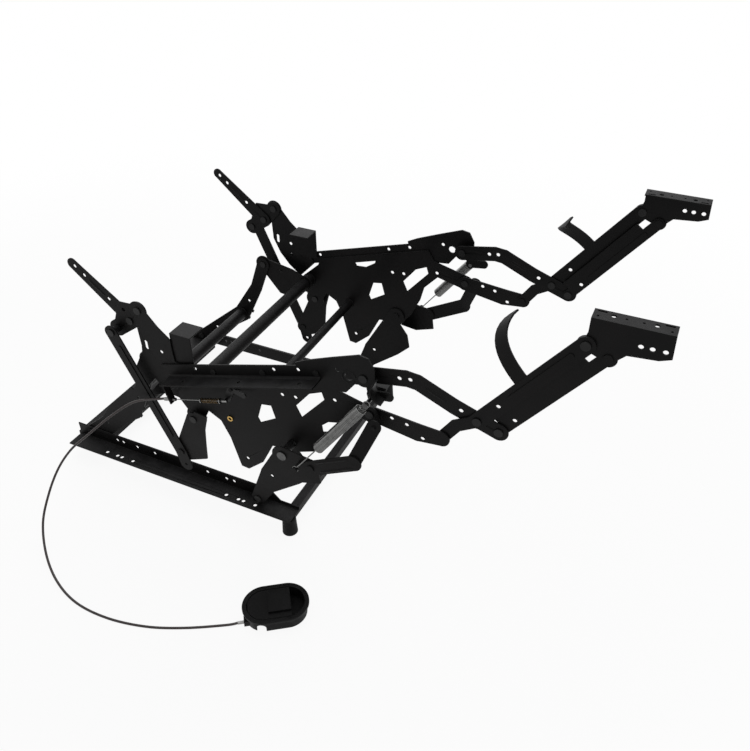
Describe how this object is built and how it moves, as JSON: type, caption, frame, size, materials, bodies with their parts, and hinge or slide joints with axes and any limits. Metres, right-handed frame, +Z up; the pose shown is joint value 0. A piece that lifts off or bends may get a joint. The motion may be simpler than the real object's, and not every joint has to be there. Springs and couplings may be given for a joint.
{
  "type": "recliner mechanism",
  "caption": "Recliner mechanism: mirrored black steel linkages on a floor frame with footrest arms, back brackets, springs and a cable release handle",
  "frame": {"origin": "middle of the four corner bolt holes, on the underside of the base flanges", "axes": "+X towards the footrest, +Y towards the sitter's left side, +Z up"},
  "size_m": [1.269, 0.9329, 0.6897],
  "materials": {
    "black_paint": "satin black paint",
    "rivet_steel": "painted over rivet heads",
    "zinc_steel": "bright zinc plate",
    "bare_steel": "grey painted steel",
    "brass_wire": "brass coloured spring wire",
    "foot_rubber": "moulded rubber",
    "cable_jacket": "dark cable jacket",
    "handle_plastic": "charcoal moulded plastic",
    "bezel_plastic": "grey moulded plastic"
  },
  "bodies": {
    "base": {"base_rail_left": "black_paint", "base_rail_right": "black_paint", "front_cross_tube": "black_paint", "rear_cross_plate": "black_paint", "floor_feet": "foot_rubber", "base_rivets": "rivet_steel"},
    "rear_links": {"rear_link_left": "black_paint", "rear_link_right": "black_paint", "rear_cross_tube": "black_paint"},
    "front_links": {"front_link_left": "black_paint", "front_link_right": "black_paint"},
    "seat": {"seat_rail_left": "black_paint", "seat_rail_right": "black_paint", "side_plate_left": "black_paint", "side_plate_right": "black_paint", "rear_upright_left": "black_paint", "rear_upright_right": "black_paint", "box_brackets": "bare_steel", "inner_hanger_left": "black_paint", "inner_hanger_right": "black_paint", "seat_cross_tube": "black_paint", "front_seat_tube": "black_paint", "seat_rivets": "rivet_steel", "seat_studs": "zinc_steel", "drive_spring_left": "zinc_steel", "drive_spring_right": "zinc_steel", "cable_brackets": "black_paint", "cable_ferrules": "zinc_steel", "cable_wire": "zinc_steel", "release_cable": "cable_jacket", "handle_housing": "handle_plastic", "handle_bezel": "bezel_plastic", "latch_spring": "brass_wire"},
    "back_brackets": {"back_arm_left": "black_paint", "back_arm_right": "black_paint", "back_plate_left": "black_paint", "back_plate_right": "black_paint", "back_rivets": "rivet_steel"},
    "back_links": {"back_link_left": "black_paint", "back_link_right": "black_paint"},
    "bellcranks": {"bellcrank_left": "black_paint", "bellcrank_right": "black_paint"},
    "upper_links": {"upper_link_left": "black_paint", "upper_link_right": "black_paint", "upper_rivets": "rivet_steel"},
    "lower_links": {"lower_link_left": "black_paint", "lower_link_right": "black_paint"},
    "outer_links": {"outer_link_left": "black_paint", "outer_link_right": "black_paint", "outer_rivets": "rivet_steel"},
    "inner_links": {"inner_link_left": "black_paint", "inner_link_right": "black_paint"},
    "footrest_brackets": {"footrest_bracket_left": "black_paint", "footrest_bracket_right": "black_paint"},
    "drive_levers": {"drive_lever_left": "black_paint", "drive_lever_right": "black_paint"},
    "drive_links": {"drive_link_left": "black_paint", "drive_link_right": "black_paint"},
    "latch": {"release_latch": "zinc_steel"},
    "paddle": {"release_paddle": "handle_plastic"}
  },
  "joints": [
    {"name": "recline", "type": "hinge", "parent": "base", "child": "rear_links", "pos_m": [-0.275, 0, 0.02], "axis": [0, -1, 0], "range_deg": [0, 15]},
    {"name": "front_swing", "type": "hinge", "parent": "base", "child": "front_links", "pos_m": [0.212, 0, 0.022], "axis": [0, -1, 0], "range_deg": [0, 23]},
    {"name": "seat_tilt", "type": "hinge", "parent": "rear_links", "child": "seat", "pos_m": [-0.042, 0, 0.3], "axis": [0, -1, 0], "range_deg": [-19.4, 0]},
    {"name": "back_fold", "type": "hinge", "parent": "seat", "child": "back_brackets", "pos_m": [-0.014, 0, 0.445], "axis": [0, -1, 0], "range_deg": [-28.1, 0]},
    {"name": "back_link_swing", "type": "hinge", "parent": "back_brackets", "child": "back_links", "pos_m": [-0.081, 0, 0.385], "axis": [0, -1, 0], "range_deg": [0, 23.9]},
    {"name": "bellcrank_swing", "type": "hinge", "parent": "seat", "child": "bellcranks", "pos_m": [0.086, 0, 0.214], "axis": [0, -1, 0], "range_deg": [-25.3, 0]},
    {"name": "footrest", "type": "hinge", "parent": "seat", "child": "upper_links", "pos_m": [0.474, 0, 0.436], "axis": [0, 1, 0], "range_deg": [0, 95], "deforming": ["drive_spring_left", "drive_spring_right"]},
    {"name": "lower_link_swing", "type": "hinge", "parent": "seat", "child": "lower_links", "pos_m": [0.484, 0, 0.357], "axis": [0, 1, 0], "range_deg": [0, 147]},
    {"name": "outer_link_swing", "type": "hinge", "parent": "upper_links", "child": "outer_links", "pos_m": [0.68, 0, 0.404], "axis": [0, 1, 0], "range_deg": [-7, 0]},
    {"name": "inner_link_swing", "type": "hinge", "parent": "upper_links", "child": "inner_links", "pos_m": [0.718, 0, 0.391], "axis": [0, 1, 0], "range_deg": [-7.1, 0]},
    {"name": "bracket_swing", "type": "hinge", "parent": "outer_links", "child": "footrest_brackets", "pos_m": [0.83, 0, 0.602], "axis": [0, 1, 0], "range_deg": [0, 7.3]},
    {"name": "lever_swing", "type": "hinge", "parent": "seat", "child": "drive_levers", "pos_m": [0.315, 0, 0.225], "axis": [0, 1, 0], "range_deg": [0, 18]},
    {"name": "drive_link_swing", "type": "hinge", "parent": "drive_levers", "child": "drive_links", "pos_m": [0.379, 0, 0.219], "axis": [0, 1, 0], "range_deg": [-31, 0]},
    {"name": "paddle_lift", "type": "hinge", "parent": "seat", "child": "paddle", "pos_m": [0.32899, -0.48471, -0.0125], "axis": [0.5736, -0.8191, 0], "range_deg": [0, 25], "stiffness_Nm_per_rad": 0.3},
    {"name": "latch_swing", "type": "hinge", "parent": "seat", "child": "latch", "pos_m": [0.19614, -0.2715, 0.33075], "axis": [0, 1, 0], "range_deg": [0, 20.1]}
  ],
  "couplings": [
    {"joint": "front_swing", "follows": "recline", "ratio": 1.5261},
    {"joint": "seat_tilt", "follows": "recline", "ratio": -1.2881},
    {"joint": "back_fold", "follows": "recline", "ratio": -1.8667},
    {"joint": "back_link_swing", "follows": "recline", "ratio": 1.5907},
    {"joint": "bellcrank_swing", "follows": "recline", "ratio": -1.6833},
    {"joint": "lower_link_swing", "follows": "footrest", "ratio": 1.5453},
    {"joint": "outer_link_swing", "follows": "footrest", "ratio": -0.0726},
    {"joint": "inner_link_swing", "follows": "footrest", "ratio": -0.0737},
    {"joint": "bracket_swing", "follows": "footrest", "ratio": 0.0758},
    {"joint": "lever_swing", "follows": "footrest", "ratio": 0.1884},
    {"joint": "drive_link_swing", "follows": "footrest", "ratio": -0.3253},
    {"joint": "latch_swing", "follows": "paddle_lift", "ratio": 0.8}
  ]
}
